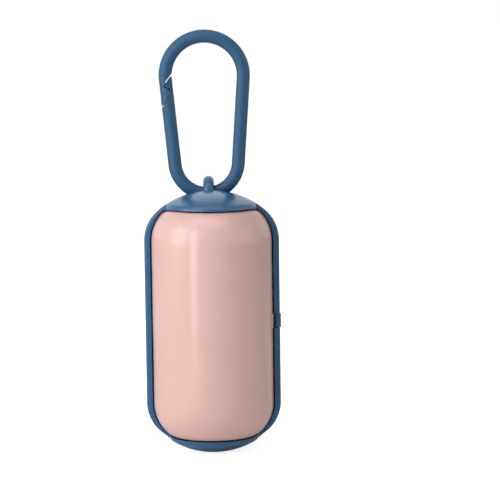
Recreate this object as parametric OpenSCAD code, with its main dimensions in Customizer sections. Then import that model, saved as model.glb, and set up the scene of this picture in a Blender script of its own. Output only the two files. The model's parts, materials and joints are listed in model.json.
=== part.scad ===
// Capsule dispenser for rolls of dog waste bags, with a hinged front cover and a snap clip.
// Millimetres. +Z is up, the cover faces -Y, and the origin is the centre of the flat foot.

/* [Capsule] */
// Outer diameter of the capsule
body_d = 45; // [44:0.5:52]
// Height of the straight side between the two domes
straight_h = 54.7; // [54:0.1:70]
// Height of each dome
dome_h = 16.5; // [16:0.1:19]
// Radius of the shoulder where the side turns into a dome
shoulder_r = 13; // [12:0.1:14]
// Wall thickness of the case
wall = 2; // [1.6:0.1:2.2]
// Height sliced off the lower dome to make the foot
foot_cut = 0.5; // [0.3:0.05:0.8]
// Radius of the rounded outer edge of the rim
rim_round = 0.8; // [0.4:0.1:1]

/* [Front opening] */
// Radius of the dome caps that stay above and below the cover
lip_r = 15.2; // [14:0.1:15.6]
// Height of the cap's lip over the base of its dome
lip_rise = 10.95; // [10:0.05:11.2]
// Radius of the rounded edge of the lip
lip_round = 2.1; // [1.6:0.1:2.4]
// Depth of the rebate that the cover's edge sits in
rebate_d = 1.8; // [1.4:0.1:2.4]

/* [Cover] */
// Gap between the cover and the case
cover_gap = 0.5; // [0.4:0.05:0.6]
// Wall thickness of the cover
cover_wall = 1.6; // [1.2:0.1:1.8]
// Radius of the corners of the cover's outline
corner_r = 7; // [6:0.5:8]
// How far each corner's arc crosses the shoulder's arc, instead of only touching it
corner_lap = 0.2; // [0.15:0.05:0.4]
// How far the cover's edge reaches into the rebate
cover_tuck = 1.2; // [0.8:0.1:1.3]

/* [Hinge] */
// Radius of the hinge knuckles
knuckle_r = 1.25; // [1.1:0.05:1.4]
// Radius of the hinge pin
pin_r = 0.6; // [0.5:0.05:0.7]
// Distance of the hinge axis in front of the rim
hinge_front = 1.7; // [1.6:0.05:2]
// Height of each case knuckle
knuckle_h = 6; // [5:0.5:8]
// Distance between the two case knuckles, centre to centre
knuckle_pitch = 32; // [26:1:36]
// Length of the cover's hinge bead
bead_h = 50; // [46:1:52]

/* [Button] */
// Height of the release button
button_h = 4.6; // [4:0.1:6]
// Depth of the button from the rim towards the back
button_d = 8; // [7.5:0.1:9]
// How far the button stands out of the case
button_proud = 0.3; // [0.2:0.05:0.6]
// Travel of the button
button_travel = 0.8; // [0.5:0.05:0.8]
// Clearance around the button in its window
button_gap = 0.25; // [0.15:0.05:0.35]
// Wire diameter of the button spring
wire_d = 0.3; // [0.25:0.05:0.35]
// Mean diameter of the button spring
spring_d = 2.3; // [2:0.1:2.6]

/* [Bag slot] */
// Height of the slot in the back
slot_h = 34; // [24:1:40]
// Width of the slot in the back
slot_w = 7; // [6:0.5:10]

/* [Roll] */
// Gap between a full roll and the button's keeper
roll_side = 0.5; // [0.4:0.1:3]
// Length of the core
core_l = 60; // [56:0.5:62]
// Outer diameter of the core
core_d = 14; // [12:0.5:15]
// Wall thickness of the core
core_wall = 1; // [0.8:0.1:1.2]
// How far the core stands out of the wound film at each end
core_out = 1; // [0.5:0.1:2]
// Height of the seat's shoulder over the foot
seat_z = 12; // [11:0.1:13]
// Height of the spigot that the core turns on
spigot_h = 6; // [4:0.5:6.5]
// Radial clearance between the spigot and the core
spigot_gap = 0.25; // [0.1:0.05:0.4]

/* [Eyelet] */
// Thickness of the eyelet ring
ring_t = 3.6; // [3:0.1:4]
// Radius of the hole in the eyelet ring
ring_hole_r = 2.5; // [2.4:0.05:3]
// Distance of the eyelet behind the capsule's axis
eyelet_back = 5.75; // [5:0.05:6.5]
// Sideways place of the eyelet
eyelet_x = -0.8; // [-1.5:0.1:1.5]
// Half length of the recess around the eyelet
recess_x = 9; // [8.5:0.1:9.5]
// Half width of the recess around the eyelet
recess_y = 4.7; // [4.4:0.1:5]
// Wall thickness of the recess
recess_wall = 1.5; // [1.2:0.1:1.8]

/* [Clip] */
// Thickness of the clip's round bar
bar_d = 4.4; // [4:0.1:4.6]
// Radius of the foot arc at the middle of the bar
foot_arc_r = 10.6; // [10:0.1:11]
// Radius of the head arc at the middle of the bar
head_arc_r = 13; // [12.6:0.1:13.4]
// Distance between the centres of the two arcs
arc_pitch = 28.8; // [28.8:0.1:34]
// Sideways place of the clip in the eyelet
clip_x = -1.2; // [-1.6:0.1:0]
// Lean of the clip to the left in degrees
clip_lean = 0.7; // [0:0.1:2]
// Gap at the gate's nose
nose_gap = 0.45; // [0.35:0.05:0.6]
// Gap around the round end at the gate's root
root_gap = 0.25; // [0.2:0.05:0.4]

/* [Hidden] */
$fn = 96;

blue = "#5a83a6";
pink = "#e8bcb4";
steel = "#b8bcc0";
far = 200; // longer than anything in the model
over = 1; // how far a cut runs past the face it opens
sunk = 0.3; // how far a piece of one solid is sunk into its neighbour

body_r = body_d / 2;
base_z = dome_h - foot_cut; // base of the lower dome over the foot
mid_z = base_z + straight_h / 2;
top_z = base_z + straight_h;
shoulder_x = body_r - shoulder_r;

// The cover is the front of a smaller capsule with its own shoulder
cover_r = body_r - wall - cover_gap;
cover_shoulder_r = shoulder_r;
cover_shoulder_x = cover_r - cover_shoulder_r;
cover_rise = lip_rise - cover_gap;
lip_drop = 0.8; // how far the caps go on past the lip, for the opening to be cut through them
corner_rise = cover_rise - corner_r; // height of the corners' centres over the base of the dome
corner_x = cover_shoulder_x + sqrt(pow(cover_shoulder_r - corner_r, 2) - pow(corner_rise, 2)) + corner_lap;

// The hinge bead is flush with the cover's outer face
hinge_y = -hinge_front;
hinge_x = -sqrt(pow(cover_r - knuckle_r, 2) - hinge_front * hinge_front);
pin_gap = 0.05;
knuckle_gap = 0.3;
pin_l = knuckle_pitch + 2 * knuckle_h;
arm_w = knuckle_r + 0.8; // width of the arm that carries a case knuckle
arm_back = 3; // how far behind the rim the arm is rooted
root_y = cover_tuck + 0.3; // the arm's root is as wide as the rebate behind this line

// Latch tongue of the cover, and the button over it
inner_r = body_r - wall;
tongue_x = cover_r + 0.2;
tongue_t = cover_wall;
tongue_back = 3.2;
tongue_h = button_h;
button_in_x = tongue_x + button_travel + 0.15; // inner face of the button's front part
button_y = 0.05; // front face of the button behind the rim
neck_y = tongue_back + 1.4; // the button is thicker behind this line
neck_x = inner_r - 2.2; // inner face of the button's thick part
flange_t = 1;
flange_gap = 0.2;
flange_side = 1.2; // how far the flange reaches over the window's edge
flange_back = 2.2; // how far it reaches behind the window
spring_y = (neck_y + button_d) / 2 + 0.9;
spring_seat_x = sqrt(pow(inner_r - flange_gap - flange_t, 2) - pow(spring_y + (spring_d + wire_d) / 2, 2));
spring_l = 2.5;
keeper_t = 0.6;
keeper_arm_t = 1.4;
keeper_x = spring_seat_x - spring_l;
keeper_y = neck_y + 0.2;
keeper_w = button_d - neck_y + 2.6;
keeper_z = button_h / 2 + flange_side + button_travel; // inner face of the keeper's arms
keeper_gap = 0.05;
window_z = button_h / 2 + button_gap;
window_in = 4; // the window's cut starts this far inside the wall

// Roll seat
core_r = core_d / 2;
spigot_r = core_r - core_wall - spigot_gap;
stem_r = 2.5;
stem_h = 3;
floor_z = wall - foot_cut; // inside of the floor at the axis
stem_top_z = floor_z + stem_h;
boss_r = 4.5;
collar_r = core_r + 1.5;
collar_h = 4;
spigot_taper = [0.8, 1]; // chamfer on the spigot's end
roll_gap = 0.3;
roll_z = seat_z + roll_gap;
roll_r = sqrt(pow(keeper_x - keeper_t, 2) + keeper_y * keeper_y) - roll_side; // outer radius of a full roll

// Eyelet, recess and clip. The bar lies near the top of the hole, as when the clip is lifted.
bar_r = bar_d / 2;
apex_z = top_z + dome_h;
bar_drop = 1.4; // the bar's middle lies this far under the crown
bar_z = apex_z - bar_drop;
ring_r = ring_hole_r + ring_t / 2;
ring_z = bar_z + bar_r + 0.1 - ring_hole_r;
recess_floor_z = bar_z - bar_r - 0.4;
limb_tilt = asin((head_arc_r - foot_arc_r) / arc_pitch);
limb_l = arc_pitch * cos(limb_tilt);
core_in = bar_r / 4;
gate_root = [-foot_arc_r * cos(limb_tilt), -foot_arc_r * sin(limb_tilt)];

// Outline of the hooked nose on the arm, from the inside of the loop to its outside.
// x is from the middle of the gate's limb and z is from the centre of the head arc.
nose = [[3.5, 2.7], [2.26, 1.03], [0.08, -1.75], [-0.7, -3.53], [1.07, -4.17], [1.26, -5.06],
    [0.49, -6.53], [-0.24, -8.74], [-1.48, -10.21], [-3, -12]];
nose_up = 0.15; // the gate's hook stands this far over the arm's tooth
gate_top = -0.15; // top of the gate's nose under the centre of the head arc

// Radius of the crown arc of a dome of radius a, height b and shoulder radius r
function crown_r(a, b, r) = (a * a - 2 * a * r + b * b) / (2 * (b - r));

// Sector of a disc between two angles less than 90 degrees apart
module sector(r, from, to) {
    intersection() {
        circle(r);
        polygon([[0, 0], 2 * r * [cos(from), sin(from)], 2 * r * [cos(to), sin(to)]]);
    }
}

// Half profile of a dome, from the axis to its side
module dome_2d(a, b, r) {
    crown = crown_r(a, b, r);
    turn = atan2(crown - b, a - r);
    intersection() {
        union() {
            translate([0, b - crown])
                sector(crown, turn, 90);
            translate([a - r, 0])
                sector(r, 0, turn);
        }
        square([a + over, b + over]);
    }
}

// Half profile of a capsule with its lower dome's base at zero
module capsule_2d(a, b, r) {
    square([a, straight_h]);
    translate([0, straight_h])
        dome_2d(a, b, r);
    mirror([0, 1])
        dome_2d(a, b, r);
}

module shell_2d() {
    difference() {
        capsule_2d(body_r, dome_h, shoulder_r);
        capsule_2d(inner_r, dome_h - wall, shoulder_r - wall);
    }
}

// Half profile of the cap over the cover, with the base of its dome at zero
module cap_2d() {
    crown = crown_r(body_r, dome_h, shoulder_r);
    round_x = lip_r - lip_round;
    reach = crown - lip_round;
    round_z = dome_h - crown + sqrt(reach * reach - round_x * round_x);
    difference() {
        intersection() {
            translate([0, -straight_h])
                shell_2d();
            translate([0, lip_rise - lip_drop])
                square([lip_r, dome_h]);
        }
        translate([round_x, round_z])
            difference() {
                polygon([[0, 0], [far, 0], far * [round_x, sqrt(reach * reach - round_x * round_x)] / reach]);
                circle(lip_round);
            }
    }
}

// Rounds the corners between the shoulders and the ends of an outline, grown by g.
// It stays clear of the shoulders below the place where the corner's arc crosses theirs.
module corners_2d(g) {
    square([far, straight_h + 2 * corner_rise + corner_r], center = true);
    square([2 * corner_x, straight_h + 2 * (cover_rise + g)], center = true);
    for (sx = [-1, 1], sz = [-1, 1])
        translate([sx * corner_x, sz * (straight_h / 2 + corner_rise)])
            circle(corner_r + g);
}

// Outline of the opening or cover seen from the front, grown by g around the cover's edge
module front_2d(g) {
    r = cover_shoulder_r + g;
    intersection() {
        corners_2d(g);
        union() {
            square([2 * (cover_r + g), straight_h], center = true);
            square([2 * cover_shoulder_x, straight_h + 2 * r], center = true);
            for (sx = [-1, 1], sz = [-1, 1])
                scale([sx, sz])
                    translate([cover_shoulder_x, straight_h / 2])
                        intersection() {
                            circle(r);
                            square(r);
                        }
        }
    }
}

// Cuts the sharp outer edge of the rim round, along the straight side and the shoulders
module rim_rounding() {
    module corner_2d() {
        difference() {
            translate([-rim_round, -over])
                square([rim_round + over, rim_round + over]);
            translate([-rim_round, rim_round])
                circle(rim_round, $fn = 48);
        }
    }
    lip_turn = acos((lip_r + 2 * sunk - shoulder_x) / shoulder_r);
    for (sx = [0, 1], sz = [0, 1])
        translate([0, 0, mid_z])
            mirror([sx, 0, 0])
                mirror([0, 0, sz]) {
                    linear_extrude(straight_h / 2)
                        translate([body_r, 0])
                            corner_2d();
                    translate([shoulder_x, 0, straight_h / 2])
                        rotate([90, 0, 0])
                            rotate_extrude(angle = lip_turn)
                                translate([shoulder_r, 0])
                                    mirror([0, 1])
                                        corner_2d();
                }
}

module stadium(half_x, half_y, h) {
    linear_extrude(h) {
        square([2 * (half_x - half_y), 2 * half_y], center = true);
        for (sx = [-1, 1])
            translate([sx * (half_x - half_y), 0])
                circle(half_y);
    }
}

module at_eyelet(z) {
    translate([eyelet_x, eyelet_back, z])
        children();
}

module case_knuckles() {
    for (s = [-1, 1])
        translate([hinge_x, hinge_y, mid_z + s * knuckle_pitch / 2 - knuckle_h / 2])
            difference() {
                union() {
                    cylinder(r = knuckle_r, h = knuckle_h, $fn = 48);
                    translate([knuckle_r - arm_w, 0, 0])
                        cube([arm_w, hinge_front + arm_back, knuckle_h]);
                    translate([-hinge_x - inner_r - sunk, hinge_front + root_y, 0])
                        cube([inner_r + sunk + hinge_x, arm_back - root_y, knuckle_h]);
                }
                translate([0, 0, -over])
                    cylinder(r = pin_r, h = knuckle_h + 2 * over, $fn = 48);
            }
}

module rear_case() {
    color(blue) {
        difference() {
            union() {
                translate([0, 0, base_z])
                    rotate_extrude(angle = 180)
                        shell_2d();
                rotate([0, 0, 180])
                    for (s = [0, 1])
                        translate([0, 0, s == 0 ? top_z : base_z])
                            mirror([0, 0, s])
                                rotate_extrude(angle = 180)
                                    cap_2d();
                intersection() {
                    translate([0, 0, base_z])
                        rotate_extrude()
                            capsule_2d(body_r, dome_h, shoulder_r);
                    at_eyelet(recess_floor_z - recess_wall)
                        stadium(recess_x + recess_wall, recess_y + recess_wall, far);
                }
                translate([0, 0, floor_z - sunk])
                    cylinder(r = boss_r, h = stem_h + sunk);
            }
            // foot
            translate([-body_r, -body_r, -dome_h])
                cube([body_d, body_d, dome_h]);
            // opening, and the rebate for the cover's edge
            translate([0, rebate_d, mid_z])
                rotate([90, 0, 0])
                    linear_extrude(far)
                        front_2d(cover_gap);
            rim_rounding();
            // recess around the eyelet
            at_eyelet(recess_floor_z)
                stadium(recess_x, recess_y, far);
            // socket of the roll seat
            translate([0, 0, floor_z])
                cylinder(r = stem_r, h = stem_h + over, $fn = 48);
            // bag slot in the back
            translate([0, 0, mid_z])
                rotate([-90, 0, 0])
                    linear_extrude(far) {
                        square([slot_w, slot_h - slot_w], center = true);
                        for (s = [-1, 1])
                            translate([0, s * (slot_h - slot_w) / 2])
                                circle(slot_w / 2, $fn = 48);
                    }
            // window of the button
            translate([inner_r - window_in, -over, mid_z - window_z])
                cube([far, over + button_d + button_gap, 2 * window_z]);
        }
        case_knuckles();
        // eyelet ring, rooted in the walls of the recess
        intersection() {
            at_eyelet(ring_z)
                rotate([0, 90, 0])
                    rotate_extrude()
                        translate([ring_r, 0])
                            circle(ring_t / 2, $fn = 48);
            translate([-far / 2, -far / 2, recess_floor_z - recess_wall / 2])
                cube(far);
        }
    }
}

module front_cover() {
    module half_2d(inset) {
        r = cover_shoulder_r - inset;
        square([cover_r - inset, straight_h / 2]);
        square([cover_shoulder_x, straight_h / 2 + r]);
        translate([cover_shoulder_x, straight_h / 2])
            intersection() {
                circle(r);
                square(r);
            }
    }
    module profile_2d(inset) {
        half_2d(inset);
        mirror([0, 1])
            half_2d(inset);
    }
    color(pink)
        difference() {
            union() {
                intersection() {
                    translate([0, 0, mid_z])
                        rotate_extrude()
                            difference() {
                                profile_2d(0);
                                profile_2d(cover_wall);
                            }
                    translate([0, cover_tuck, mid_z])
                        rotate([90, 0, 0])
                            linear_extrude(far)
                                corners_2d(0);
                }
                translate([hinge_x, hinge_y, mid_z - bead_h / 2])
                    cylinder(r = knuckle_r, h = bead_h, $fn = 48);
                // latch tongue
                translate([tongue_x - tongue_t, -cover_wall, mid_z - tongue_h / 2])
                    cube([tongue_t, cover_wall + tongue_back, tongue_h]);
            }
            translate([hinge_x, hinge_y, mid_z - bead_h / 2 - over])
                cylinder(r = pin_r + pin_gap, h = bead_h + 2 * over, $fn = 48);
            // notches for the case knuckles
            for (s = [-1, 1])
                translate([hinge_x, hinge_y,
                    mid_z + s * knuckle_pitch / 2 - knuckle_h / 2 - knuckle_gap]) {
                    cylinder(r = knuckle_r + knuckle_gap, h = knuckle_h + 2 * knuckle_gap, $fn = 48);
                    translate([-knuckle_r - knuckle_gap, 0, 0])
                        cube([2 * (knuckle_r + knuckle_gap), far, knuckle_h + 2 * knuckle_gap]);
                }
        }
}

module hinge_pin() {
    color(steel)
        translate([hinge_x, hinge_y, mid_z - pin_l / 2])
            cylinder(r = pin_r, h = pin_l, $fn = 48);
}

module release_button() {
    color(blue)
        translate([0, 0, mid_z]) {
            linear_extrude(button_h, center = true)
                intersection() {
                    circle(body_r + button_proud);
                    union() {
                        translate([button_in_x, button_y])
                            square([far, button_d - button_y]);
                        translate([neck_x, neck_y])
                            square([far, button_d - neck_y]);
                    }
                }
            linear_extrude(button_h + 2 * flange_side, center = true)
                intersection() {
                    difference() {
                        circle(inner_r - flange_gap);
                        circle(inner_r - flange_gap - flange_t);
                    }
                    translate([0, neck_y])
                        square([far, button_d + flange_back - neck_y]);
                }
            // seat of the spring
            intersection() {
                translate([spring_seat_x, spring_y - spring_d / 2 - wire_d, -spring_d / 2 - wire_d])
                    cube([far, spring_d + 2 * wire_d, spring_d + 2 * wire_d]);
                cylinder(r = inner_r - flange_gap, h = button_h, center = true);
            }
        }
}

// Coil along X as one tube of six sides, eight rings to a turn
module button_spring() {
    turns = 3;
    rings = 8 * turns;
    sides = 6;
    rise = (spring_l - wire_d) / rings;
    function ring_point(i, j) =
        let (turn = 360 * i / 8, side = 360 * j / sides, r = spring_d / 2 + wire_d / 2 * cos(side))
        [wire_d / 2 + rise * i + wire_d / 2 * sin(side), r * cos(turn), r * sin(turn)];
    points = [for (i = [0:rings], j = [0:sides - 1]) ring_point(i, j)];
    walls = [for (i = [0:rings - 1], j = [0:sides - 1])
        let (k = (j + 1) % sides, a = i * sides, b = a + sides)
        each [[a + j, a + k, b + k], [a + j, b + k, b + j]]];
    ends = [
        [for (j = [sides - 1:-1:0]) j],
        [for (j = [0:sides - 1]) rings * sides + j]
    ];
    color(steel)
        translate([keeper_x, spring_y, mid_z])
            polyhedron(points, concat(walls, ends));
}

module button_keeper() {
    color(blue)
        translate([0, 0, mid_z])
            intersection() {
                cylinder(r = inner_r - keeper_gap, h = far, center = true);
                union() {
                    translate([keeper_x - keeper_t, keeper_y, -keeper_z - keeper_arm_t])
                        cube([keeper_t, keeper_w, 2 * (keeper_z + keeper_arm_t)]);
                    for (s = [0, 1])
                        mirror([0, 0, s])
                            translate([keeper_x - keeper_t, keeper_y, keeper_z])
                                cube([far, keeper_w, keeper_arm_t]);
                }
            }
}

module roll_seat() {
    color(blue)
        rotate_extrude()
            polygon([
                [0, floor_z],
                [stem_r, floor_z],
                [stem_r, stem_top_z],
                [boss_r, stem_top_z],
                [collar_r, seat_z - collar_h],
                [collar_r, seat_z],
                [spigot_r, seat_z],
                [spigot_r, seat_z + spigot_h - spigot_taper[1]],
                [spigot_r - spigot_taper[0], seat_z + spigot_h],
                [0, seat_z + spigot_h]
            ]);
}

module roll_core() {
    color("tan")
        translate([0, 0, roll_z])
            difference() {
                cylinder(r = core_r, h = core_l);
                translate([0, 0, -over])
                    cylinder(r = core_r - core_wall, h = core_l + 2 * over);
            }
}

module bag_roll() {
    color("darkslategray")
        translate([0, 0, roll_z + core_out])
            difference() {
                cylinder(r = roll_r, h = core_l - 2 * core_out);
                translate([0, 0, -over])
                    cylinder(r = core_r, h = core_l);
            }
}

// Places the clip's own frame: x across, z up, origin at the centre of the foot arc
module in_clip() {
    translate([clip_x, eyelet_back, bar_z])
        rotate([0, -clip_lean, 0])
            translate([0, 0, foot_arc_r])
                children();
}

module arc_bar(r, from, to) {
    rotate([90, 0, 0])
        rotate([0, 0, from])
            rotate_extrude(angle = to - from)
                translate([r, 0])
                    circle(bar_r, $fn = 48);
}

// Places a bar that runs on from the end of an arc at an angle, turning it up or down
module at_arc_end(r, angle, turn) {
    rotate([90, 0, 0])
        rotate([0, 0, angle])
            translate([r, 0, 0])
                rotate([turn, 0, 0])
                    children();
}

// Straight limb between the two arcs. A core inside the bar joins it to an arc at each end.
module limb(core_from, core_to) {
    rotate_extrude($fn = 48)
        square([bar_r, limb_l]);
    translate([0, 0, core_from])
        cylinder(r = bar_r / 2, h = core_to - core_from, $fn = 48);
}

module head_and_gate_limb() {
    translate([0, 0, arc_pitch]) {
        arc_bar(head_arc_r, -limb_tilt, 180 + limb_tilt);
        at_arc_end(head_arc_r, 180 + limb_tilt, -90) {
            limb(-core_in, limb_l - core_in);
            translate([0, 0, limb_l])
                rotate_extrude($fn = 48)
                    intersection() {
                        circle(bar_r);
                        square(bar_r);
                    }
        }
    }
}

// Clears the round end of the gate, about its hinge axis
module root_socket() {
    translate([gate_root[0], 0, gate_root[1]])
        rotate([90, 0, 0])
            cylinder(r = bar_r + root_gap, h = 2 * bar_d, center = true, $fn = 48);
}

// Everything on the gate's side of the nose and down past the root, moved over by a gap
module gate_side(gap, up, top) {
    line = [for (p = nose) [p[0] - head_arc_r, p[1] + arc_pitch] + [gap, up]];
    inside_x = gate_root[0] + bar_d + over;
    low_z = gate_root[1] - bar_d;
    intersection() {
        rotate([90, 0, 0])
            linear_extrude(2 * bar_d, center = true)
                polygon(concat(line, [[line[len(line) - 1][0], low_z], [inside_x, low_z],
                    [inside_x, line[0][1]]]));
        translate([-far / 2, -far / 2, arc_pitch + top - far])
            cube(far);
    }
}

module clip_body() {
    color(blue)
        in_clip() {
            difference() {
                arc_bar(foot_arc_r, -limb_tilt, limb_tilt - 180);
                root_socket();
            }
            at_arc_end(foot_arc_r, -limb_tilt, -90)
                limb(-core_in, limb_l + core_in);
            difference() {
                head_and_gate_limb();
                gate_side(0, 0, bar_d);
            }
        }
}

module clip_gate() {
    color(blue)
        in_clip()
            intersection() {
                head_and_gate_limb();
                gate_side(nose_gap, nose_up, gate_top);
            }
}

rear_case();
front_cover();
hinge_pin();
release_button();
button_spring();
button_keeper();
roll_seat();
roll_core();
bag_roll();
clip_body();
clip_gate();
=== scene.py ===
"""Looks of the capsule bag dispenser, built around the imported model.

Metres. +Z is up, the cover faces -Y and the origin is the centre of the flat foot.
"""
import json
import math
import random

import bmesh
import bpy
from mathutils import Matrix, Quaternion, Vector


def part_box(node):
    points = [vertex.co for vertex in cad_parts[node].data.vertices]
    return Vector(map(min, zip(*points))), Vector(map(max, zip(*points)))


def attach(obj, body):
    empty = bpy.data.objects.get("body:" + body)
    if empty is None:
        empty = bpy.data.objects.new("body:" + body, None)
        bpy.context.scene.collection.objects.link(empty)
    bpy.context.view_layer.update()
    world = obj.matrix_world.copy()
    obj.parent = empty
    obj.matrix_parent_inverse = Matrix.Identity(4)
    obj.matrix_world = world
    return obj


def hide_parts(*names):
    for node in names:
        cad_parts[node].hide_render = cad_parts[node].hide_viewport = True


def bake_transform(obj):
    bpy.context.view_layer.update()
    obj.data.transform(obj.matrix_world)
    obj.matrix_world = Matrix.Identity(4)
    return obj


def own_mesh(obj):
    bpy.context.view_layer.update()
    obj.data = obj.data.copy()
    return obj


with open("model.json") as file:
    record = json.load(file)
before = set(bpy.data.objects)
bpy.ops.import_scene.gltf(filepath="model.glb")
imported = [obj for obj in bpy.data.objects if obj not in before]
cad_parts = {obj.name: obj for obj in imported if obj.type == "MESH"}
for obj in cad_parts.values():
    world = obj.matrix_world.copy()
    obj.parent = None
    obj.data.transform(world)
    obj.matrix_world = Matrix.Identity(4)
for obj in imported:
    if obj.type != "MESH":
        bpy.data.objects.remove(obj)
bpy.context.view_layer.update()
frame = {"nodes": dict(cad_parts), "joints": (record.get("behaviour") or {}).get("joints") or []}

bl_info = {
    "name": "Bag dispenser",
    "version": (1, 0, 0),
    "blender": (4, 5, 0),
    "location": "View3D > Sidebar > Dispenser",
    "description": "Finishes a capsule dispenser for rolls of dog waste bags and sets up its stage",
    "category": "Object",
}

MM = 0.001

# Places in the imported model
ROLL_LOW, ROLL_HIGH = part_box("bag_roll")
CORE_LOW, CORE_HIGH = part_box("roll_core")
SPRING_LOW, SPRING_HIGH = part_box("button_spring")
ROLL_R = (ROLL_HIGH[0] - ROLL_LOW[0]) / 2
CORE_R = (CORE_HIGH[0] - CORE_LOW[0]) / 2
GATE_ROOT = next(Vector(joint["pos_m"]) for joint in frame["joints"] if joint["name"] == "gate_flex")

# The clip, as in the part's source
CLIP_LEAN = math.radians(0.7)
BAR_R = 2.2 * MM
FOOT_ARC_R = 10.6 * MM
HEAD_ARC_R = 13 * MM
ARC_PITCH = 28.8 * MM
LIMB_TILT = math.asin((HEAD_ARC_R - FOOT_ARC_R) / ARC_PITCH)
# Line where arm and gate part, in millimetres from the limb's middle and the head arc's centre
PARTING = (
    (-0.115, -2.2), (-0.7, -3.53), (1.07, -4.17), (1.26, -5.06),
    (0.49, -6.53), (-0.24, -8.74), (-0.98, -9.62),
)
# Edges of the nose's rib, in millimetres from that line
RIB_FREE_EDGE, RIB_ROOTED_EDGE = (0.06, 0.02), (0.52, 0.17)

# Values that a noise texture mostly stays between
NOISE_LOW, NOISE_HIGH = 0.3, 0.7


def srgb(code):
    """Linear colour of a hex code."""
    parts = [int(code[i:i + 2], 16) / 255 for i in (1, 3, 5)]
    return tuple(c / 12.92 if c <= 0.04045 else ((c + 0.055) / 1.055) ** 2.4 for c in parts)


def shade(colour, factor):
    """The colour made darker, or lighter up to white."""
    return [min(1, c * factor) for c in colour]


# Settings


def colour_setting(name, description, code):
    return bpy.props.FloatVectorProperty(
        name=name, description=description, subtype="COLOR", size=3, min=0, max=1, default=srgb(code)
    )


def length_setting(name, description, default):
    return bpy.props.FloatProperty(
        name=name, description=description, default=default, min=0, unit="LENGTH", precision=5
    )


def angle_setting(name, description, degrees):
    return bpy.props.FloatProperty(
        name=name, description=description, default=math.radians(degrees), subtype="ANGLE"
    )


def share_setting(name, description, default):
    return bpy.props.FloatProperty(
        name=name, description=description, default=default, min=0, max=1, subtype="FACTOR"
    )


def power_setting(name, description, default):
    return bpy.props.FloatProperty(
        name=name, description=description, default=default, min=0, unit="POWER"
    )


class DispenserColours(bpy.types.PropertyGroup):
    """Colours of the dispenser's pieces"""

    case: colour_setting("Case", "Colour of the case, button and eyelet", "#255880")
    cover: colour_setting("Cover", "Colour of the front cover", "#d4aca4")
    clip: colour_setting("Clip", "Colour of the snap clip", "#1a4d6f")
    steel: colour_setting("Steel", "Colour of the hinge pin and the spring", "#b9bcbe")
    board: colour_setting("Board", "Colour of the roll's core", "#a98a63")
    film: colour_setting("Film", "Colour of the bags on the roll", "#23282b")


class DispenserFinish(bpy.types.PropertyGroup):
    """Surface finish of the dispenser's pieces"""

    case_roughness: share_setting("Case roughness", "Roughness of the case's satin surface", 0.27)
    cover_roughness: share_setting("Cover roughness", "Roughness of the cover's satin surface", 0.22)
    clip_roughness: share_setting("Clip roughness", "Roughness of the clip's matt surface", 0.55)
    grain: length_setting("Grain", "Size of the moulded grain", 0.22 * MM)
    mottle: length_setting("Mottle", "Size of the soft variation in tone", 14 * MM)
    edge: length_setting("Edge", "Radius that moulded edges are softened to", 0.18 * MM)


class DispenserRoll(bpy.types.PropertyGroup):
    """Sizes of the bag roll"""

    layer: length_setting("Layer", "Distance between the layers that show at the roll's ends", 0.25 * MM)
    flap: length_setting("Flap", "Length of the loose end of the film", 9 * MM)
    film: length_setting("Film", "Thickness that the loose end is drawn with", 0.12 * MM)


class DispenserStage(bpy.types.PropertyGroup):
    """Camera, lights and floor"""

    distance: length_setting("Distance", "Distance from the camera to the object", 0.8608)
    pitch: angle_setting("Pitch", "How far the camera looks down", 6.711)
    roll: angle_setting("Roll", "How far the camera is turned about its own axis", -0.773)
    lens: bpy.props.FloatProperty(name="Lens", description="Focal length", default=186.12, unit="CAMERA")
    floor: colour_setting("Floor", "Colour of the floor", "#f2f2f2")
    key: power_setting("Key", "Power of the large lamp on the left", 7.5)
    strip: power_setting("Strip", "Power of the upright lamp close on the left", 0.21)
    top: power_setting("Top", "Power of the lamp overhead", 3.0)
    back: power_setting("Back", "Power of the lamp high up behind", 0.9)
    fill: power_setting("Fill", "Power of the lamp on the right", 3.5)
    ambient: share_setting("Ambient", "Strength of the light from all round", 0.22)


def settings(name):
    return getattr(bpy.context.scene, "dispenser_" + name)


# Node trees


def add(tree, kind, inputs=None, **options):
    """A node with its options set and its inputs given as values or as other nodes' sockets."""
    node = tree.nodes.new(kind)
    for option, value in options.items():
        setattr(node, option, value)
    for key, value in (inputs or {}).items():
        if isinstance(value, bpy.types.NodeSocket):
            tree.links.new(value, node.inputs[key])
        else:
            node.inputs[key].default_value = value
    return node


def math_node(tree, operation, a, b=0.0):
    return add(tree, "ShaderNodeMath", {0: a, 1: b}, operation=operation).outputs[0]


def map_range(tree, value, low, high, to_low=0.0, to_high=1.0):
    inputs = {"Value": value, "From Min": low, "From Max": high, "To Min": to_low, "To Max": to_high}
    return add(tree, "ShaderNodeMapRange", inputs).outputs["Result"]


def mix_colour(tree, factor, a, b):
    """A mix by a socket's value of two colours, each given as a colour or as a socket."""
    node = add(tree, "ShaderNodeMix", data_type="RGBA", clamp_factor=True)
    # the node's sockets by number, because those for numbers and for colours share their names
    tree.links.new(factor, node.inputs[0])
    for key, value in ((6, a), (7, b)):
        if isinstance(value, bpy.types.NodeSocket):
            tree.links.new(value, node.inputs[key])
        else:
            node.inputs[key].default_value = (*value, 1)
    return node.outputs[2]


def shader_group(name, inputs, outputs):
    """An empty group with named sockets, as (group, its inputs, its output node)."""
    group = bpy.data.node_groups.new(name, "ShaderNodeTree")
    for socket, (kind, default) in inputs.items():
        made = group.interface.new_socket(socket, in_out="INPUT", socket_type=kind)
        made.default_value = default
    for socket, kind in outputs.items():
        group.interface.new_socket(socket, in_out="OUTPUT", socket_type=kind)
    given = group.nodes.new("NodeGroupInput").outputs
    return group, given, group.nodes.new("NodeGroupOutput")


def built_once(build):
    """Lets every material share the one node group that build makes."""

    def shared():
        return bpy.data.node_groups.get(build.__name__) or build()

    return shared


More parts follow.
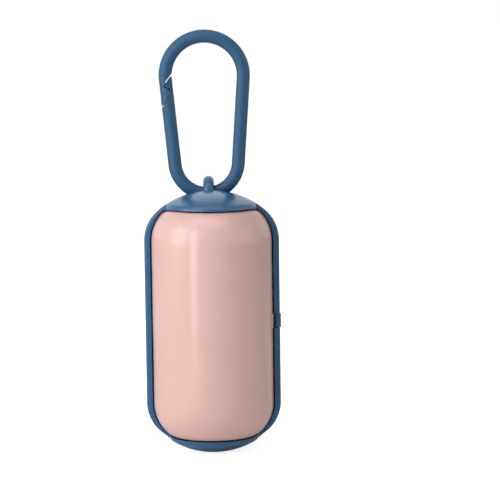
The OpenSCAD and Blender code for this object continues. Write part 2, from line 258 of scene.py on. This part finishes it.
@built_once
def moulded_grain():
    """Fine grain and soft mottle of moulded plastic."""
    group, given, out = shader_group(
        "moulded_grain",
        {"Grain Scale": ("NodeSocketFloat", 4500.0), "Mottle Scale": ("NodeSocketFloat", 70.0)},
        {"Height": "NodeSocketFloat", "Mottle": "NodeSocketFloat"},
    )
    place = add(group, "ShaderNodeTexCoord").outputs["Object"]
    grain = add(group, "ShaderNodeTexNoise", {
        "Vector": place, "Scale": given["Grain Scale"], "Detail": 2.0, "Roughness": 0.6})
    mottle = add(group, "ShaderNodeTexNoise", {
        "Vector": place, "Scale": given["Mottle Scale"], "Detail": 3.0, "Roughness": 0.5})
    group.links.new(grain.outputs["Fac"], out.inputs["Height"])
    group.links.new(map_range(group, mottle.outputs["Fac"], NOISE_LOW, NOISE_HIGH), out.inputs["Mottle"])
    return group


@built_once
def soft_edge():
    """Normals rounded over sharp edges, and a mask of those edges."""
    group, given, out = shader_group(
        "soft_edge",
        {"Radius": ("NodeSocketFloat", 0.0002)},
        {"Normal": "NodeSocketVector", "Edge": "NodeSocketFloat"},
    )
    rounded = add(group, "ShaderNodeBevel", {"Radius": given["Radius"]}, samples=6).outputs["Normal"]
    flat = add(group, "ShaderNodeNewGeometry").outputs["Normal"]
    agreement = add(group, "ShaderNodeVectorMath", {0: rounded, 1: flat}, operation="DOT_PRODUCT")
    face, edge = 0.97, 0.75
    mask = map_range(group, agreement.outputs["Value"], face, edge)
    group.links.new(rounded, out.inputs["Normal"])
    group.links.new(mask, out.inputs["Edge"])
    return group


@built_once
def turned_coordinates():
    """Angle and height about the vertical axis, in metres of arc on a radius and of height."""
    group, given, out = shader_group(
        "turned_coordinates", {"Radius": ("NodeSocketFloat", 0.01)},
        {"Vector": "NodeSocketVector", "Radius": "NodeSocketFloat"},
    )
    place = add(group, "ShaderNodeTexCoord").outputs["Object"]
    parts = add(group, "ShaderNodeSeparateXYZ", {0: place}).outputs
    angle = math_node(group, "ARCTAN2", parts["Y"], parts["X"])
    arc = math_node(group, "MULTIPLY", angle, given["Radius"])
    across = math_node(group, "ADD", math_node(group, "MULTIPLY", parts["X"], parts["X"]),
                       math_node(group, "MULTIPLY", parts["Y"], parts["Y"]))
    vector = add(group, "ShaderNodeCombineXYZ", {0: arc, 2: parts["Z"]}).outputs[0]
    group.links.new(vector, out.inputs["Vector"])
    group.links.new(math_node(group, "SQRT", across), out.inputs["Radius"])
    return group


def use_group(tree, group, **values):
    node = add(tree, "ShaderNodeGroup", node_tree=group)
    for socket, value in values.items():
        node.inputs[socket.replace("_", " ")].default_value = value
    return node.outputs


def new_material(name, **sockets):
    """An empty material and its principled shader, with plain values on the shader's own sockets."""
    material = bpy.data.materials.new(name)
    material.use_nodes = True
    tree = material.node_tree
    shader = tree.nodes["Principled BSDF"]
    for socket, value in sockets.items():
        shader.inputs[socket.replace("_", " ")].default_value = value
    return material, tree, shader


def moulded_plastic(part, grain_depth, edge_highlight):
    """Satin or matt moulded plastic: fine grain, a soft mottle and sharp edges a little lighter, a painted
    highlight.

    The part's name picks its settings. The last argument is how much of the painted edge highlight shows on
    a sharp edge.
    """
    finish = settings("finish")
    colour = getattr(settings("colours"), part)
    roughness = getattr(finish, part + "_roughness")
    darkest, lightest, highlight_white, roughness_spread = 0.985, 1.015, 0.35, 0.03
    material, tree, shader = new_material(part + "_plastic", IOR=1.46, Specular_IOR_Level=0.5)
    surface = use_group(tree, moulded_grain(), Grain_Scale=1 / finish.grain, Mottle_Scale=1 / finish.mottle)
    edges = use_group(tree, soft_edge(), Radius=finish.edge)
    tone = mix_colour(tree, surface["Mottle"], shade(colour, darkest), shade(colour, lightest))
    # painted highlight: the edge mask mixes sharp edges a little towards white
    edge_highlight_mask = math_node(tree, "MULTIPLY", edges["Edge"], edge_highlight)
    edge_highlight_colour = [c + (1 - c) * highlight_white for c in colour]
    tree.links.new(mix_colour(tree, edge_highlight_mask, tone, edge_highlight_colour), shader.inputs["Base Color"])
    low, high = roughness - roughness_spread, roughness + roughness_spread
    tree.links.new(map_range(tree, surface["Mottle"], 0, 1, low, high), shader.inputs["Roughness"])
    bump = add(tree, "ShaderNodeBump", {
        "Height": surface["Height"], "Normal": edges["Normal"], "Distance": grain_depth, "Strength": 0.6})
    tree.links.new(bump.outputs[0], shader.inputs["Normal"])
    return material


def drawn_steel():
    """Drawn steel wire and rod, with fine lines along it."""
    colour = settings("colours").steel
    darkest, smoothest, roughest = 0.82, 0.24, 0.4
    material, tree, shader = new_material("drawn_steel", Metallic=1.0)
    place = add(tree, "ShaderNodeTexCoord").outputs["Object"]
    stretched = add(tree, "ShaderNodeMapping", {"Vector": place, "Scale": (1, 1, 0.05)}).outputs[0]
    noise = add(tree, "ShaderNodeTexNoise", {"Vector": stretched, "Scale": 9000.0, "Detail": 2.0})
    lines = noise.outputs["Fac"]
    tree.links.new(mix_colour(tree, lines, shade(colour, darkest), colour), shader.inputs["Base Color"])
    tree.links.new(map_range(tree, lines, NOISE_LOW, NOISE_HIGH, smoothest, roughest),
                   shader.inputs["Roughness"])
    bump = add(tree, "ShaderNodeBump", {"Height": lines, "Distance": 0.004 * MM, "Strength": 0.5})
    tree.links.new(bump.outputs[0], shader.inputs["Normal"])
    return material


def wound_board():
    """Grey-brown board wound in a spiral, with its seam and fibres."""
    colour = settings("colours").board
    darkest, lightest, in_seam, smoothest, roughest = 0.7, 1.15, 0.45, 0.78, 0.95
    winding, strip, seam_half = math.radians(35), 13 * MM, 0.25 * MM
    material, tree, shader = new_material("wound_board", Specular_IOR_Level=0.2)
    turned = use_group(tree, turned_coordinates(), Radius=CORE_R)
    slanted = add(tree, "ShaderNodeMapping", {
        "Vector": turned["Vector"], "Rotation": (0, winding, 0)}).outputs[0]
    along = add(tree, "ShaderNodeSeparateXYZ", {0: slanted}).outputs["Z"]
    edge = math_node(tree, "PINGPONG", along, strip / 2)
    seam = map_range(tree, edge, seam_half, 0.0)
    fibre_place = add(tree, "ShaderNodeMapping", {"Vector": slanted, "Scale": (0.25, 1, 1)}).outputs[0]
    noise = add(tree, "ShaderNodeTexNoise", {"Vector": fibre_place, "Scale": 2600.0, "Detail": 4.0})
    fibres = noise.outputs["Fac"]
    tone = mix_colour(tree, fibres, shade(colour, darkest), shade(colour, lightest))
    tree.links.new(mix_colour(tree, seam, tone, shade(colour, in_seam)), shader.inputs["Base Color"])
    tree.links.new(map_range(tree, fibres, NOISE_LOW, NOISE_HIGH, smoothest, roughest),
                   shader.inputs["Roughness"])
    height = math_node(tree, "SUBTRACT", fibres, seam)
    bump = add(tree, "ShaderNodeBump", {"Height": height, "Distance": 0.05 * MM, "Strength": 0.6})
    tree.links.new(bump.outputs[0], shader.inputs["Normal"])
    return material


def bag_film():
    """Thin dull film with fine creases along the roll."""
    colour = settings("colours").film
    darkest, lightest, smoothest, roughest, pinch_share = 0.75, 1.35, 0.26, 0.42, 0.6
    material, tree, shader = new_material("bag_film", IOR=1.5, Specular_IOR_Level=0.5)
    turned = use_group(tree, turned_coordinates(), Radius=ROLL_R)
    long_place = add(tree, "ShaderNodeMapping", {
        "Vector": turned["Vector"], "Scale": (1, 1, 0.18)}).outputs[0]
    noise = add(tree, "ShaderNodeTexNoise", {
        "Vector": long_place, "Scale": 420.0, "Detail": 4.0, "Roughness": 0.6, "Distortion": 0.6})
    creases = noise.outputs["Fac"]
    pinch = add(tree, "ShaderNodeTexNoise", {
        "Vector": turned["Vector"], "Scale": 160.0, "Detail": 2.0}).outputs["Fac"]
    tree.links.new(mix_colour(tree, creases, shade(colour, darkest), shade(colour, lightest)),
                   shader.inputs["Base Color"])
    tree.links.new(map_range(tree, pinch, NOISE_LOW, NOISE_HIGH, smoothest, roughest),
                   shader.inputs["Roughness"])
    height = math_node(tree, "ADD", creases, math_node(tree, "MULTIPLY", pinch, pinch_share))
    bump = add(tree, "ShaderNodeBump", {"Height": height, "Distance": 0.16 * MM, "Strength": 0.8})
    tree.links.new(bump.outputs[0], shader.inputs["Normal"])
    return material


# Meshes


def new_piece(name, mesh, material):
    """An object at the origin with one material."""
    piece = bpy.data.objects.new(name, mesh)
    bpy.context.scene.collection.objects.link(piece)
    mesh.materials.append(material)
    return piece


def mesh_from(name, build, smooth=True):
    """A mesh that build(bmesh) fills, with its faces turned outward."""
    shape = bmesh.new()
    build(shape)
    bmesh.ops.recalc_face_normals(shape, faces=shape.faces)
    mesh = bpy.data.meshes.new(name)
    shape.to_mesh(mesh)
    shape.free()
    mesh.polygons.foreach_set("use_smooth", [smooth] * len(mesh.polygons))
    return mesh


def join_rings(shape, rings, ends="capped"):
    """Skins rings of equally many points, with the ends capped, open or joined to each other."""
    made = [[shape.verts.new(point) for point in ring] for ring in rings]
    count = len(made[0])
    path = made + made[:1] if ends == "joined" else made
    for low, high in zip(path, path[1:]):
        for i in range(count):
            shape.faces.new((low[i], low[(i + 1) % count], high[(i + 1) % count], high[i]))
    if ends == "capped":
        shape.faces.new(list(reversed(made[0])))
        shape.faces.new(made[-1])


def tube_rings(points, radii, binormal, sides):
    """Round sections across a path that lies in the plane square to binormal."""
    rings = []
    for i, point in enumerate(points):
        ahead = points[min(i + 1, len(points) - 1)] - points[max(i - 1, 0)]
        side = binormal.cross(ahead).normalized()
        ring = []
        for j in range(sides):
            turn = math.tau * j / sides
            ring.append(point + radii[i] * (math.cos(turn) * side + math.sin(turn) * binormal))
        rings.append(ring)
    return rings


def refinish(node, material):
    """Gives a CAD node its material."""
    cad = frame["nodes"][node]
    cad.data.materials.clear()
    cad.data.materials.append(material)


# Pieces


class DISPENSER_OT_case(bpy.types.Operator):
    """Finish the blue case, its button and the fittings moulded to match"""

    bl_idname = "dispenser.case"
    bl_label = "Case"

    def execute(self, context):
        # the last argument sets the painted highlight on sharp edges
        material = moulded_plastic("case", grain_depth=0.006 * MM, edge_highlight=0.25)
        for node in ("rear_case", "release_button", "button_keeper", "roll_seat"):
            refinish(node, material)
        return {"FINISHED"}


class DISPENSER_OT_cover(bpy.types.Operator):
    """Finish the pink front cover"""

    bl_idname = "dispenser.cover"
    bl_label = "Cover"

    def execute(self, context):
        # the last argument sets the painted highlight on sharp edges
        refinish("front_cover", moulded_plastic("cover", grain_depth=0.006 * MM, edge_highlight=0.3))
        return {"FINISHED"}


class DISPENSER_OT_hardware(bpy.types.Operator):
    """Finish the hinge pin and wind the button's spring"""

    bl_idname = "dispenser.hardware"
    bl_label = "Pin and spring"

    def execute(self, context):
        steel = drawn_steel()
        refinish("hinge_pin", steel)
        self.wind_spring(steel)
        return {"FINISHED"}

    def wind_spring(self, steel):
        """A compression spring along X with closed end turns, where the CAD's spring is."""
        wire_r, wire_sides = 0.15 * MM, 10
        turns, steps = 5, 24
        closed = 0.16  # share of the wire in each closed end
        closed_pitch, open_pitch = 0.1, 0.9  # shares of the length
        coil_r = (SPRING_HIGH[2] - SPRING_LOW[2]) / 2 - wire_r
        centre = [(low + high) / 2 for low, high in zip(SPRING_LOW, SPRING_HIGH)]
        length = SPRING_HIGH[0] - SPRING_LOW[0]
        start, coiled = SPRING_LOW[0] + wire_r, length - 2 * wire_r
        path = []
        for i in range(turns * steps + 1):
            along = i / (turns * steps)
            # the end turns lie nearly flat
            rise = min(max((along - closed) / (1 - 2 * closed), 0), 1)
            rise = closed_pitch * along + open_pitch * rise
            turn = math.tau * i / steps
            path.append(Vector((start + coiled * rise, centre[1] + coil_r * math.cos(turn),
                                centre[2] + coil_r * math.sin(turn))))
        rings = []
        for i, point in enumerate(path):
            ahead = (path[min(i + 1, len(path) - 1)] - path[max(i - 1, 0)]).normalized()
            outward = (point - Vector((point.x, centre[1], centre[2]))).normalized()
            other = ahead.cross(outward).normalized()
            rings.append([point + wire_r * (math.cos(a) * outward + math.sin(a) * other)
                          for a in (math.tau * j / wire_sides for j in range(wire_sides))])
        mesh = mesh_from("spring_coil", lambda shape: join_rings(shape, rings))
        spring = new_piece("spring_coil", mesh, steel)
        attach(spring, "case")
        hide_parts("button_spring")
        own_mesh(spring)


class DISPENSER_OT_roll(bpy.types.Operator):
    """Wind the roll of bags on its board core"""

    bl_idname = "dispenser.roll"
    bl_label = "Roll"

    def execute(self, context):
        refinish("roll_core", wound_board())
        film = bag_film()
        self.wind_film(film)
        self.loose_end(film)
        return {"FINISHED"}

    def wind_film(self, film):
        """The wound film: a drum with faint flats where the folds lie, and ends that show its layers."""
        low, high = ROLL_LOW[2], ROLL_HIGH[2]
        sides, heights = 120, 24
        twist = 90  # radians a metre that the flats turn up the roll
        layer_edge = 0.6  # share of a layer's width that lies at one depth
        layers = int((ROLL_R - CORE_R) / settings("roll").layer)
        chance = random.Random(4)
        ripple = [(n, chance.uniform(0.03, 0.07) * MM, chance.uniform(0, math.tau)) for n in (3, 5, 8, 13)]

        def wobble(turn, z):
            lift = sum(size * math.sin(n * turn + start + twist * z) for n, size, start in ripple)
            return lift - sum(size for _, size, _ in ripple)

        def ring(radius, z, share):
            return [Vector(((radius + share * wobble(t, z)) * math.cos(t),
                            (radius + share * wobble(t, z)) * math.sin(t), z))
                    for t in (math.tau * j / sides for j in range(sides))]

        def end(z, inward):
            """Rings of one end, from the core outward, each layer at its own depth."""
            rings = []
            for i in range(layers + 1):
                radius = CORE_R + (ROLL_R - CORE_R) * i / layers
                depth = inward * chance.uniform(0.02, 0.3) * MM
                share = i / layers
                rings.append(ring(radius, z + depth, share))
                if i < layers:
                    rings.append(ring(radius + layer_edge * (ROLL_R - CORE_R) / layers, z + depth, share))
            return rings

        def build(shape):
            body = [ring(ROLL_R, low + (high - low) * k / heights, 1) for k in range(1, heights)]
            bottom, top = end(low, 1), end(high, -1)
            inside = [ring(CORE_R, low + 1 * MM, 0)]
            rings = inside + bottom + body + top[::-1]
            join_rings(shape, rings, ends="joined")

        roll = new_piece("film_roll", mesh_from("film_roll", build), film)
        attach(roll, "roll")
        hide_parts("bag_roll")

    def loose_end(self, film):
        """The film's free end, lifted a little off the roll, with the zigzag it was torn along."""
        sizes = settings("roll")
        margin = 1 * MM
        low, high = ROLL_LOW[2] + margin, ROLL_HIGH[2] - margin
        start = math.radians(200)
        across, along, teeth = 58, 14, 0.5 * MM
        sunk, lift = 0.12 * MM, 0.35 * MM
        wave, wave_turn = 0.1 * MM, 9

        def point(u, v, off):
            """u runs along the film to its torn edge and v up the roll."""
            torn = teeth * (1 if round(v * across) % 2 else 0) if u == 1 else 0
            turn = start + (u * sizes.flap - torn) / ROLL_R
            radius = ROLL_R - sunk + lift * u * u + wave * math.sin(wave_turn * v) * u + off
            return Vector((radius * math.cos(turn), radius * math.sin(turn), low + (high - low) * v))

        def build(shape):
            grid = {}
            for side, off in ((0, 0), (1, sizes.film)):
                for i in range(along + 1):
                    for j in range(across + 1):
                        grid[side, i, j] = shape.verts.new(point(i / along, j / across, off))
            for i in range(along):
                for j in range(across):
                    for side in (0, 1):
                        shape.faces.new((grid[side, i, j], grid[side, i + 1, j],
                                         grid[side, i + 1, j + 1], grid[side, i, j + 1]))
            rim = [(i, 0) for i in range(along)] + [(along, j) for j in range(across)]
            rim += [(i, across) for i in range(along, 0, -1)] + [(0, j) for j in range(across, 0, -1)]
            for (a, b), (c, d) in zip(rim, rim[1:] + rim[:1]):
                shape.faces.new((grid[0, a, b], grid[0, c, d], grid[1, c, d], grid[1, a, b]))

        flap = new_piece("film_end", mesh_from("film_end", build), film)
        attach(flap, "roll")


class DISPENSER_OT_clip(bpy.types.Operator):
    """Finish the snap clip and run its skin over the foot of the sprung limb"""

    bl_idname = "dispenser.clip"
    bl_label = "Clip"

    def execute(self, context):
        # the last argument sets the painted highlight on sharp edges
        material = moulded_plastic("clip", grain_depth=0.02 * MM, edge_highlight=0.2)
        refinish("clip_body", material)
        refinish("clip_gate", material)
        lean = Matrix.Rotation(-CLIP_LEAN, 3, "Y")
        centre = GATE_ROOT - lean @ (FOOT_ARC_R * Vector((-math.cos(LIMB_TILT), 0, -math.sin(LIMB_TILT))))
        self.bending_foot(material, lean, centre)
        self.nose_rib(material, lean, centre)
        return {"FINISHED"}

    def nose_rib(self, material, lean, centre):
        """A thin rib on the gate's nose that keeps light out of the parting line."""
        half = Vector((0, 0.5 * MM, 0))
        rings = []
        for x, z in PARTING:
            free, rooted = [Vector(((x + dx) * MM - HEAD_ARC_R, 0, (z + dz) * MM + ARC_PITCH))
                            for dx, dz in (RIB_FREE_EDGE, RIB_ROOTED_EDGE)]
            corners = free - half, rooted - half, rooted + half, free + half
            rings.append([centre + lean @ point for point in corners])
        mesh = mesh_from("nose_rib", lambda shape: join_rings(shape, rings), smooth=False)
        rib = new_piece("nose_rib", mesh, material)
        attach(rib, "gate")

    def bending_foot(self, material, lean, centre):
        """The skin over the one-piece bar at the foot of the gate, made in place at rest."""
        reach, step = 5.2 * MM, 0.4 * MM
        sides = 48
        proud, sunk = 0.035 * MM, 0.05 * MM  # over the bar in the middle, and in it at both ends
        fade = 6  # power of the way from one to the other
        up = lean @ Vector((-math.sin(LIMB_TILT), 0, math.cos(LIMB_TILT)))
        count = round(reach / step)
        path = []
        for i in range(-count, count + 1):
            s = i * step
            if s < 0:
                turn = math.pi + LIMB_TILT - s / FOOT_ARC_R
                path.append(centre + lean @ (FOOT_ARC_R * Vector((math.cos(turn), 0, math.sin(turn)))))
            else:
                path.append(GATE_ROOT + s * up)
        radii = [BAR_R + proud - (proud + sunk) * (abs(i) / count) ** fade
                 for i in range(-count, count + 1)]
        rings = tube_rings(path, radii, Vector((0, 1, 0)), sides)
        mesh = mesh_from("clip_foot_skin", lambda shape: join_rings(shape, rings, ends="open"))
        skin = new_piece("clip_foot_skin", mesh, material)
        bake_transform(skin)


class DISPENSER_OT_stage(bpy.types.Operator):
    """Set up the camera, the lamps, the floor and the white surroundings"""

    bl_idname = "dispenser.stage"
    bl_label = "Stage"

    def execute(self, context):
        scene = context.scene
        scene.view_settings.view_transform = "Standard"
        self.camera(scene)
        self.surroundings(scene)
        self.floor()
        values = settings("stage")
        self.lamp("key_lamp", azimuth=-65, elevation=16, distance=1.1, size=(0.6, 1.0), power=values.key)
        self.lamp("strip_lamp", azimuth=-33, elevation=12, distance=0.24, size=(0.05, 0.24),
                  power=values.strip)
        self.lamp("top_lamp", azimuth=-10, elevation=68, distance=0.95, size=(1.0, 0.5), power=values.top)
        self.lamp("back_lamp", azimuth=180, elevation=40, distance=1.0, size=(0.8, 0.5), power=values.back)
        self.lamp("fill_lamp", azimuth=75, elevation=8, distance=1.2, size=(1.0, 1.2), power=values.fill)
        return {"FINISHED"}

    def camera(self, scene):
        values = settings("stage")
        aim = Vector((12.76, 0, 67.16)) * MM
        back = Vector((0, -math.cos(values.pitch), math.sin(values.pitch)))
        camera = bpy.data.objects.new("camera", bpy.data.cameras.new("camera"))
        camera.data.lens = values.lens
        camera.data.sensor_width = 36
        camera.data.clip_start = 0.05
        camera.location = aim + values.distance * back
        camera.rotation_mode = "QUATERNION"
        camera.rotation_quaternion = back.to_track_quat("Z", "Y") @ Quaternion((0, 0, 1), values.roll)
        scene.collection.objects.link(camera)
        scene.camera = camera

    def surroundings(self, scene):
        """White to the camera and in reflections, and a plain soft light on the object."""
        world = bpy.data.worlds.new("surroundings")
        world.use_nodes = True
        tree = world.node_tree
        background = tree.nodes["Background"]
        background.inputs["Color"].default_value = (1, 1, 1, 1)
        rays = add(tree, "ShaderNodeLightPath").outputs
        seen = math_node(tree, "MAXIMUM", rays["Is Camera Ray"], rays["Is Transmission Ray"])
        seen = math_node(tree, "MAXIMUM", seen, rays["Is Glossy Ray"])
        strength = map_range(tree, seen, 0, 1, settings("stage").ambient, 1)
        tree.links.new(strength, background.inputs["Strength"])
        scene.world = world

    def floor(self):
        """White paper to the camera, where the object's shadow still shows."""
        values = settings("stage")
        glow, half = 0.8, 4.0
        material, tree, shader = new_material("floor_paper", Roughness=0.9, Specular_IOR_Level=0.1)
        shader.inputs["Base Color"].default_value = (*values.floor, 1)
        seen = add(tree, "ShaderNodeLightPath").outputs["Is Camera Ray"]
        shader.inputs["Emission Color"].default_value = (1, 1, 1, 1)
        tree.links.new(math_node(tree, "MULTIPLY", seen, glow), shader.inputs["Emission Strength"])

        def build(shape):
            corners = (-half, -half), (half, -half), (half, half), (-half, half)
            shape.faces.new([shape.verts.new((x, y, 0)) for x, y in corners])

        mesh = mesh_from("floor", build, smooth=False)
        mesh.materials.append(material)
        floor = bpy.data.objects.new("floor", mesh)
        bpy.context.scene.collection.objects.link(floor)

    def lamp(self, name, azimuth, elevation, distance, size, power):
        """A soft rectangular lamp that faces the object.

        Azimuth 0 is the camera's side, and a positive one is to the right.
        """
        light = bpy.data.lights.new(name, "AREA")
        light.shape = "RECTANGLE"
        light.size, light.size_y = size
        light.energy = power
        lamp = bpy.data.objects.new(name, light)
        a, e = math.radians(azimuth), math.radians(elevation)
        back = Vector((math.sin(a) * math.cos(e), -math.cos(a) * math.cos(e), math.sin(e)))
        aim = Vector((0, 0, 70 * MM))
        lamp.location = aim + distance * back
        lamp.rotation_mode = "QUATERNION"
        lamp.rotation_quaternion = back.to_track_quat("Z", "Y")
        bpy.context.scene.collection.objects.link(lamp)


OPERATORS = (
    DISPENSER_OT_stage,
    DISPENSER_OT_case,
    DISPENSER_OT_cover,
    DISPENSER_OT_hardware,
    DISPENSER_OT_roll,
    DISPENSER_OT_clip,
)
GROUPS = {
    "colours": DispenserColours,
    "finish": DispenserFinish,
    "roll": DispenserRoll,
    "stage": DispenserStage,
}


class DISPENSER_PT_panel(bpy.types.Panel):
    """Builds the dispenser's looks and lists their settings"""

    bl_idname = "DISPENSER_PT_panel"
    bl_label = "Bag dispenser"
    bl_space_type = "VIEW_3D"
    bl_region_type = "UI"
    bl_category = "Dispenser"

    def draw(self, context):
        for operator in OPERATORS:
            self.layout.operator(operator.bl_idname)
        for name, group in GROUPS.items():
            box = self.layout.box()
            box.label(text=name.capitalize())
            for setting in group.__annotations__:
                box.prop(settings(name), setting)


def register():
    for cls in (*GROUPS.values(), *OPERATORS, DISPENSER_PT_panel):
        bpy.utils.register_class(cls)
    for name, group in GROUPS.items():
        setattr(bpy.types.Scene, "dispenser_" + name, bpy.props.PointerProperty(type=group))


def unregister():
    for name in GROUPS:
        delattr(bpy.types.Scene, "dispenser_" + name)
    for cls in reversed((*GROUPS.values(), *OPERATORS, DISPENSER_PT_panel)):
        bpy.utils.unregister_class(cls)


def main():
    register()
    for operator in OPERATORS:
        getattr(bpy.ops.dispenser, operator.bl_idname.split(".")[1])()


if __name__ == "__main__":
    main()
